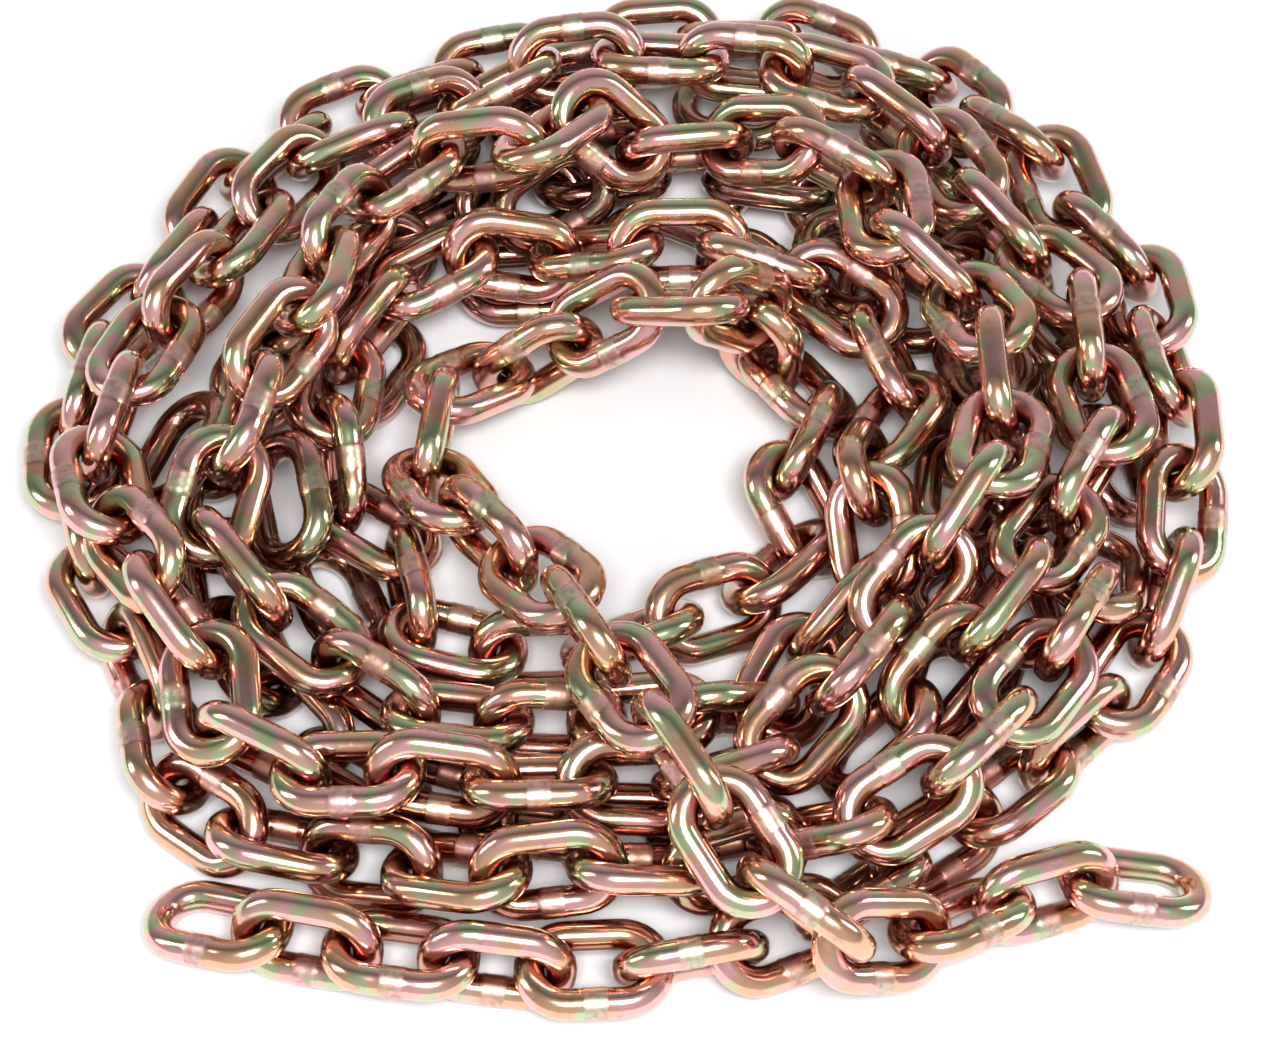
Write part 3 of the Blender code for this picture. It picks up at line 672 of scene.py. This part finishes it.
class Chain:
    """The laid chain in the row frame, shared by the operators that build its pieces."""

    laid = None

    @classmethod
    def get(cls):
        if cls.laid is None:
            cls.laid = cls()
        return cls.laid

    def __init__(self):
        hooks, across, hidden = lay_chain()
        centre, along, across, _, _ = poses(hooks, across)
        centre, along, across = lay_hidden_turn(centre, along, across, hidden)
        self.count = len(centre)
        self.hidden = hidden
        lower = lay_lower_links(centre, along, across)
        centre, along, across = (np.vstack(rows) for rows in zip((centre, along, across), lower))
        self.shift = row_shift()
        self.centre = centre + self.shift
        self.along = along
        self.across = across
        self.normal = np.cross(along, across)
        self.wires = dense_points(self.centre, along, across)
        rng = np.random.default_rng(LINK_SEED)
        sizes = bpy.context.scene.chain_sizes
        weld_height = sizes.weld_height / MM
        weld_half = sizes.weld_length / 2 / MM
        self.looks = [link_template(rng, weld_height, weld_half) for _ in range(WELD_LOOKS)]
        count = len(centre)
        self.seed = rng.uniform(0, 1, count)
        self.look = rng.integers(0, WELD_LOOKS, count)
        self.weld_side = rng.choice((-1.0, 1.0), count)
        ends = [*range(FRONT_SINGLES), *range(self.count - LAST_SINGLES // 2, self.count)]
        self.weld_side[ends] = np.where(self.across[ends, 1] > 0, 1.0, -1.0)

    def links_of(self, node):
        """The numbers of the links that a CAD node holds."""
        words = node.split("_")
        if node.startswith("front_tail_link"):
            return [int(words[-1]) - 1]
        if node.startswith("crossing_link"):
            return [self.count - LAST_SINGLES + int(words[-1]) - 1]
        return list(range(int(words[-2]) - 1, int(words[-1])))

    def buried(self, link, points, facing):
        """How much other wires close in on each point of a link's surface, from 0 up; the plating paints
        shade by it.
        """
        apart = np.linalg.norm(self.centre - self.centre[link], axis=1)
        wires = self.wires[apart < NEAR_LINKS].reshape(-1, 3)
        offset = wires[None] - points[:, None]
        distance = np.linalg.norm(offset, axis=2)
        cosine = (offset * facing[:, None]).sum(axis=2) / np.maximum(distance, 1e-6)
        return (np.maximum(cosine, 0) * np.exp(-((distance / BURIED_REACH) ** 2))).sum(axis=1)


def row_shift():
    """How far the row frame's origin is from the layout's, from the box of the hidden turn's bank."""
    line = core_line()
    step = unit(line[1:] - line[:-1])
    forward = unit(np.vstack([step[:1], step[:-1] + step[1:], step[-1:]]))
    left = np.column_stack([-forward[:, 1], forward[:, 0]])
    corners = np.vstack([line + CORE_WIDTH / 2 * left, line - CORE_WIDTH / 2 * left])
    low = np.full(2, np.inf)
    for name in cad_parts:
        if name.startswith("hidden_turn"):
            low = np.minimum(low, np.array(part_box(name)[0][:2]) / MM)
    return np.array([*(low - corners.min(axis=0)), 0.0])


def new_piece(name, nodes, links, material):
    """Adds one mesh of the given links, which rides on the root and stands for the CAD nodes."""
    chain = Chain.get()
    if not links:
        raise RuntimeError(f"{name} has no links: the CAD frame's nodes have other names")
    faces = template_faces()
    points, quads, welds, seeds, shades = [], [], [], [], []
    for n, k in enumerate(links):
        shape, weld, facing = chain.looks[chain.look[k]]
        side = chain.weld_side[k]
        axes = np.array((chain.along[k], side * chain.across[k], side * chain.normal[k]))
        spun = chain.centre[k] + shape @ axes
        # How closed in each point is; the plating paints shade from it
        shades.append(chain.buried(k, spun, facing @ axes))
        points.append(spun * MM)
        quads.append(faces + n * len(shape))
        welds.append(weld)
        seeds.append(np.full(len(shape), chain.seed[k]))
    points = np.vstack(points)
    quads = np.vstack(quads)
    mesh = bpy.data.meshes.new(name)
    mesh.vertices.add(len(points))
    mesh.vertices.foreach_set("co", points.ravel())
    mesh.loops.add(quads.size)
    mesh.loops.foreach_set("vertex_index", quads.ravel())
    mesh.polygons.add(len(quads))
    mesh.polygons.foreach_set("loop_start", np.arange(len(quads)) * 4)
    mesh.update(calc_edges=True)
    mesh.validate()
    for label, values in (("weld", welds), ("link_seed", seeds), ("buried", shades)):
        attribute = mesh.attributes.new(label, "FLOAT", "POINT")
        attribute.data.foreach_set("value", np.concatenate(values))
    mesh.materials.append(material)
    mesh.shade_smooth()
    piece = bpy.data.objects.new(name, mesh)
    bpy.context.scene.collection.objects.link(piece)
    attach(piece, "root")
    if nodes:
        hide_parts(*nodes)


def build_strand(name, first, last, material, slot):
    """Adds the piece of the CAD nodes whose first link lies from first to last."""
    chain = Chain.get()
    nodes, links = [], []
    for node in sorted(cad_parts):
        if node.startswith("hidden_turn"):
            continue
        held = chain.links_of(node)
        if first <= held[0] <= last:
            nodes.append(node)
            links += held
    new_piece(name, nodes, sorted(links), material)


class Socket:
    """A node's output, on which Python's own operators add Math nodes."""

    def __init__(self, graph, output):
        self.graph = graph
        self.output = output

    def maths(self, operation, one, two):
        return self.graph.node("ShaderNodeMath", {"operation": operation}, {0: one, 1: two})

    def __add__(self, other):
        return self.maths("ADD", self, other)

    def __radd__(self, other):
        return self.maths("ADD", other, self)

    def __sub__(self, other):
        return self.maths("SUBTRACT", self, other)

    def __rsub__(self, other):
        return self.maths("SUBTRACT", other, self)

    def __mul__(self, other):
        return self.maths("MULTIPLY", self, other)

    def __rmul__(self, other):
        return self.maths("MULTIPLY", other, self)

    def __truediv__(self, other):
        return self.maths("DIVIDE", self, other)


class Graph:
    """The nodes of one material or world."""

    def __init__(self, tree):
        self.tree = tree

    def node(self, kind, settings=None, inputs=None, output=0):
        """Adds a node: its settings first, then the values or links of its sockets."""
        made = self.tree.nodes.new(kind)
        for label, value in (settings or {}).items():
            if label == "stops":
                self.set_stops(made.color_ramp, value)
            else:
                setattr(made, label, value)
        for label, value in (inputs or {}).items():
            socket = made.inputs[label]
            if isinstance(value, Socket):
                self.tree.links.new(value.output, socket)
            else:
                socket.default_value = value
        return Socket(self, made.outputs[output])

    @staticmethod
    def set_stops(ramp, stops):
        while len(ramp.elements) > 1:
            ramp.elements.remove(ramp.elements[-1])
        for n, (place, colour) in enumerate(stops):
            stop = ramp.elements[0] if n == 0 else ramp.elements.new(place)
            stop.position = place
            stop.color = colour

    def mix(self, share, one, two):
        """A colour between two, by a share."""
        return self.node(
            "ShaderNodeMix", {"data_type": "RGBA"}, {"Factor": share, 6: one, 7: two}, output=2
        )

    def noise(self, place, scale, detail=2.0, roughness=0.5):
        return self.node(
            "ShaderNodeTexNoise",
            {"noise_dimensions": "3D"},
            {"Vector": place, "Scale": scale, "Detail": detail, "Roughness": roughness},
        )

    def ramp(self, value, low, high):
        """The share from 0 at low to 1 at high."""
        return self.node(
            "ShaderNodeMapRange",
            {"interpolation_type": "SMOOTHSTEP"},
            {"Value": value, "From Min": low, "From Max": high},
        )


def plated_material(name, darkness):
    """Yellow-chromate plating: gold metal with rose and green patches and a matt weld, red-brown shade
    painted where wires close in, and painted shade darkening it all by the darkness given.
    """
    colours = bpy.context.scene.plating_colours
    material = bpy.data.materials.new(name)
    material.use_nodes = True
    tree = material.node_tree
    graph = Graph(tree)
    shader = tree.nodes["Principled BSDF"]
    shader.inputs["Coat Weight"].default_value = COAT_WEIGHT
    shader.inputs["Coat Roughness"].default_value = COAT_ROUGHNESS
    shader.inputs["Coat IOR"].default_value = COAT_IOR

    place = graph.node("ShaderNodeTexCoord", output="Object")
    seed = graph.node("ShaderNodeAttribute", {"attribute_name": "link_seed"}, output="Fac")
    weld = graph.node("ShaderNodeAttribute", {"attribute_name": "weld"}, output="Fac")
    away = graph.node("ShaderNodeCombineXYZ", None, {"X": seed * 7.0, "Y": seed * 13.0, "Z": seed * 5.0})
    place = graph.node("ShaderNodeVectorMath", {"operation": "ADD"}, {0: place, 1: away})

    broad = graph.noise(place, BROAD_PATCHES, 2.0)
    other = graph.noise(place, CRISP_PATCHES, 2.0)
    fine = graph.noise(place, MOTTLE, 4.0, 0.6)
    rose_share = graph.ramp(broad, *ROSE_RANGE)
    green_share = graph.ramp(other, *GREEN_RANGE)
    gold = tuple(colours.gold) + (1.0,)
    colour = graph.mix(rose_share, gold, tuple(colours.rose) + (1.0,))
    colour = graph.mix(green_share, colour, tuple(colours.green) + (1.0,))
    stain = graph.ramp(graph.noise(place, STAINS, 5.0, 0.65), *STAIN_RANGE)
    colour = graph.mix(stain * STAIN_SHOWS, colour, tuple(colours.stain) + (1.0,))
    mottle = graph.ramp(fine, *MOTTLE_RANGE)
    weld_colour = graph.mix(mottle, tuple(colours.weld) + (1.0,), tuple(colours.stain) + (1.0,))
    colour = graph.mix(weld * WELD_SHOWS, colour, weld_colour)
    # Red-brown shade painted where other wires close in on the surface
    closed_in = graph.node("ShaderNodeAttribute", {"attribute_name": "buried"}, output="Fac")
    crevice_shade_share = graph.ramp(closed_in, *CREVICE_SHADE_RANGE)
    colour = graph.mix(crevice_shade_share * CREVICE_SHADE_SHOWS, colour, tuple(colours.crevice_shade) + (1.0,))
    # Painted shade: the colour darkened towards near black by the darkness given
    if darkness:
        colour = graph.mix(darkness, colour, NEAR_BLACK)
    tree.links.new(colour.output, shader.inputs["Base Color"])

    shader.inputs["Metallic"].default_value = 1.0
    rough = colours.roughness + MOTTLE_ROUGHNESS * fine
    rough = rough + stain * STAIN_ROUGHNESS + weld * WELD_ROUGHNESS
    tree.links.new(rough.output, shader.inputs["Roughness"])

    height = fine * MOTTLE_BUMP + weld * graph.noise(place, WELD_GRAIN, 3.0) * WELD_BUMP
    bump = {"Strength": BUMP_STRENGTH, "Distance": BUMP_DISTANCE, "Height": height}
    bump = graph.node("ShaderNodeBump", None, bump, output="Normal")
    tree.links.new(bump.output, shader.inputs["Normal"])
    return material


def floor_material():
    settings = bpy.context.scene.stage_settings
    material = bpy.data.materials.new("pale_floor")
    material.use_nodes = True
    tree = material.node_tree
    graph = Graph(tree)
    shader = tree.nodes["Principled BSDF"]
    place = graph.node("ShaderNodeTexCoord", output="Object")
    tone = graph.noise(place, FLOOR_TONES, 3.0)
    pale = tuple(settings.floor_colour) + (1.0,)
    shade = tuple(FLOOR_SHADE * c for c in settings.floor_colour) + (1.0,)
    tree.links.new(graph.mix(tone, pale, shade).output, shader.inputs["Base Color"])
    shader.inputs["Roughness"].default_value = FLOOR_ROUGHNESS
    shader.inputs["Specular IOR Level"].default_value = FLOOR_GLOSS
    return material


def shared_material(name, darkness=0.0):
    return bpy.data.materials.get(name) or plated_material(name, darkness)


class ChainSizes(bpy.types.PropertyGroup):
    """Sizes that the CAD part doesn't hold."""

    weld_height: bpy.props.FloatProperty(
        name="Weld height",
        description="How far the weld stands out of the wire",
        default=0.0004,
        unit="LENGTH",
    )
    weld_length: bpy.props.FloatProperty(
        name="Weld length", description="Length of the weld along the leg", default=0.0062, unit="LENGTH"
    )


class PlatingColours(bpy.types.PropertyGroup):
    """Colours and polish of the yellow-chromate plating, and the red-brown shade painted where wires meet.
    """

    gold: bpy.props.FloatVectorProperty(
        name="Gold", description="Main colour of the plating", default=(0.82, 0.475, 0.30), subtype="COLOR"
    )
    rose: bpy.props.FloatVectorProperty(
        name="Rose", description="Pink patches", default=(0.93, 0.50, 0.485), subtype="COLOR"
    )
    green: bpy.props.FloatVectorProperty(
        name="Green", description="Green patches", default=(0.57, 0.63, 0.37), subtype="COLOR"
    )
    stain: bpy.props.FloatVectorProperty(
        name="Stain", description="Brown stains", default=(0.26, 0.11, 0.08), subtype="COLOR"
    )
    # Painted shade: red-brown where wires meet
    crevice_shade: bpy.props.FloatVectorProperty(
        name="Painted crevice shade",
        description="Red-brown shade where wires meet",
        default=(0.34, 0.11, 0.07),
        subtype="COLOR",
    )
    weld: bpy.props.FloatVectorProperty(
        name="Weld", description="Grey of the trimmed weld", default=(0.72, 0.62, 0.58), subtype="COLOR"
    )
    roughness: bpy.props.FloatProperty(
        name="Roughness", description="Roughness of clean plating", default=0.14, min=0.0, max=1.0
    )


class StageSettings(bpy.types.PropertyGroup):
    """The floor, the lights and the camera."""

    floor_colour: bpy.props.FloatVectorProperty(
        name="Floor", description="Colour of the pale floor", default=(0.76, 0.76, 0.775), subtype="COLOR"
    )
    key_power: bpy.props.FloatProperty(
        name="Key light", description="Power of the softbox above the camera", default=58.0, unit="POWER"
    )
    side_power: bpy.props.FloatProperty(
        name="Side lights", description="Power of each side light", default=7.0, unit="POWER"
    )
    camera_distance: bpy.props.FloatProperty(
        name="Camera distance",
        description="From the layout's middle to the camera",
        default=1.22,
        unit="LENGTH",
    )
    camera_aside: bpy.props.FloatProperty(
        name="Camera aside",
        description="From the layout's middle to the right",
        default=0.003,
        unit="LENGTH",
    )


class CHAIN_OT_tails(bpy.types.Operator):
    """Lays the separate links of the front tail and of the stretch that crosses the heap."""

    bl_idname = "chain_heap.tails"
    bl_label = "Tails"

    def execute(self, context):
        for name in ("front_tail", "crossing_tail"):
            build_strand(name, *STRANDS[name], shared_material("yellow_plated_steel"), "plated_steel")
        return {"FINISHED"}


class CHAIN_OT_outer_turns(bpy.types.Operator):
    """Lays the outer turn on the floor and the turn above it."""

    bl_idname = "chain_heap.outer_turns"
    bl_label = "Outer turns"

    def execute(self, context):
        for name in ("outer_turn", "second_turn"):
            build_strand(name, *STRANDS[name], shared_material("yellow_plated_steel"), "plated_steel")
        return {"FINISHED"}


class CHAIN_OT_inner_turns(bpy.types.Operator):
    """Lays the turns that wind inward to the hole."""

    bl_idname = "chain_heap.inner_turns"
    bl_label = "Inner turns"

    def execute(self, context):
        for name in ("third_turn", "fourth_turn", "inner_turn"):
            build_strand(name, *STRANDS[name], shared_material("yellow_plated_steel"), "plated_steel")
        return {"FINISHED"}


class CHAIN_OT_hidden_turn(bpy.types.Operator):
    """Lays the turn under the others as links, in place of its bank, and the loose links there, in a copy
    of the plating darkened as painted shade.
    """

    bl_idname = "chain_heap.hidden_turn"
    bl_label = "Hidden turn"

    def execute(self, context):
        chain = Chain.get()
        nodes = [name for name in sorted(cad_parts) if name.startswith("hidden_turn")]
        # The first and last hidden links would cut into the turns that they lead to
        links = [int(k) for k in np.nonzero(chain.hidden)[0]]
        links = links[CORE_CLEAR_LINKS : len(links) - CORE_CLEAR_LINKS]
        lower = list(range(chain.count, len(chain.centre)))
        # The hidden and loose links get the plating darkened as painted shade
        dark = shared_material("shaded_plated_steel", SHADED_DARKNESS)
        new_piece("hidden_turn_links", nodes, links, dark)
        new_piece("lower_links", [], lower, dark)
        return {"FINISHED"}


def add_light(name, place, aim, size, power, colour):
    data = bpy.data.lights.new(name, "AREA")
    data.shape = "RECTANGLE"
    data.size, data.size_y = size
    data.energy = power
    data.color = colour
    lamp = bpy.data.objects.new(name, data)
    lamp.location = place
    lamp.rotation_mode = "QUATERNION"
    lamp.rotation_quaternion = (aim - lamp.location).to_track_quat("-Z", "Y")
    bpy.context.scene.collection.objects.link(lamp)


class CHAIN_OT_stage(bpy.types.Operator):
    """Adds the pale floor, the soft lights and the camera."""

    bl_idname = "chain_heap.stage"
    bl_label = "Stage"

    def execute(self, context):
        scene = context.scene
        settings = scene.stage_settings
        half = FLOOR_HALF
        mesh = bpy.data.meshes.new("floor")
        corners = [(-half, -half, 0), (half, -half, 0), (half, half, 0), (-half, half, 0)]
        mesh.from_pydata(corners, [], [(0, 1, 2, 3)])
        mesh.materials.append(floor_material())
        floor = bpy.data.objects.new("floor", mesh)
        scene.collection.objects.link(floor)

        middle = Vector(Chain.get().shift * MM)
        back = Vector((0.0, -math.cos(VIEW_ELEVATION), math.sin(VIEW_ELEVATION)))
        data = bpy.data.cameras.new("camera")
        data.sensor_width = SENSOR_WIDTH
        data.lens = PHOTO_FOCAL / PHOTO_WIDTH * data.sensor_width
        data.clip_start = CLIP_START
        data.clip_end = CLIP_END
        camera = bpy.data.objects.new("camera", data)
        aside = Vector((settings.camera_aside, 0.0, 0.0))
        camera.location = middle + aside + settings.camera_distance * back
        camera.rotation_mode = "QUATERNION"
        camera.rotation_quaternion = (-back).to_track_quat("-Z", "Y")
        scene.collection.objects.link(camera)
        scene.camera = camera

        add_light("key_light", KEY_PLACE, middle, KEY_SIZE, settings.key_power, WHITE)
        add_light("left_light", LEFT_PLACE, middle, SIDE_SIZE, settings.side_power, WARM)
        add_light("right_light", RIGHT_PLACE, middle, SIDE_SIZE, settings.side_power, COOL)

        world = bpy.data.worlds.new("soft_studio")
        world.use_nodes = True
        graph = Graph(world.node_tree)
        way = graph.node("ShaderNodeTexCoord", output="Generated")
        parts = graph.node("ShaderNodeSeparateXYZ", None, {"Vector": way}, output="Y")
        shade = graph.node("ShaderNodeValToRGB", {"stops": WORLD_STOPS}, {"Fac": parts * 0.5 + 0.5})
        ground = world.node_tree.nodes["Background"]
        world.node_tree.links.new(shade.output, ground.inputs["Color"])
        ground.inputs["Strength"].default_value = 1.0
        scene.world = world
        scene.view_settings.view_transform = "Standard"
        scene.view_settings.look = "None"
        return {"FINISHED"}


class CHAIN_PT_panel(bpy.types.Panel):
    """Lists the settings and the operators."""

    bl_idname = "CHAIN_PT_panel"
    bl_label = "Chain heap"
    bl_space_type = "VIEW_3D"
    bl_region_type = "UI"
    bl_category = "Chain heap"

    def draw(self, context):
        for group in SETTINGS:
            settings = getattr(context.scene, group)
            for label in settings.bl_rna.properties.keys():
                if label not in ("rna_type", "name"):
                    self.layout.prop(settings, label)
        for operator in OPERATORS:
            self.layout.operator(operator.bl_idname)


SETTINGS = {
    "chain_sizes": ChainSizes,
    "plating_colours": PlatingColours,
    "stage_settings": StageSettings,
}
OPERATORS = (
    CHAIN_OT_tails,
    CHAIN_OT_outer_turns,
    CHAIN_OT_inner_turns,
    CHAIN_OT_hidden_turn,
    CHAIN_OT_stage,
)


def register():
    for made in (*SETTINGS.values(), *OPERATORS, CHAIN_PT_panel):
        bpy.utils.register_class(made)
    for name, group in SETTINGS.items():
        setattr(bpy.types.Scene, name, bpy.props.PointerProperty(type=group))


def unregister():
    for name in SETTINGS:
        delattr(bpy.types.Scene, name)
    for made in (CHAIN_PT_panel, *OPERATORS, *SETTINGS.values()):
        bpy.utils.unregister_class(made)


def main():
    for name in ("Cube", "Light", "Camera"):
        if name in bpy.data.objects:
            bpy.data.objects.remove(bpy.data.objects[name], do_unlink=True)
    register()
    bpy.ops.chain_heap.tails()
    bpy.ops.chain_heap.outer_turns()
    bpy.ops.chain_heap.inner_turns()
    bpy.ops.chain_heap.hidden_turn()
    bpy.ops.chain_heap.stage()


if __name__ == "__main__":
    main()
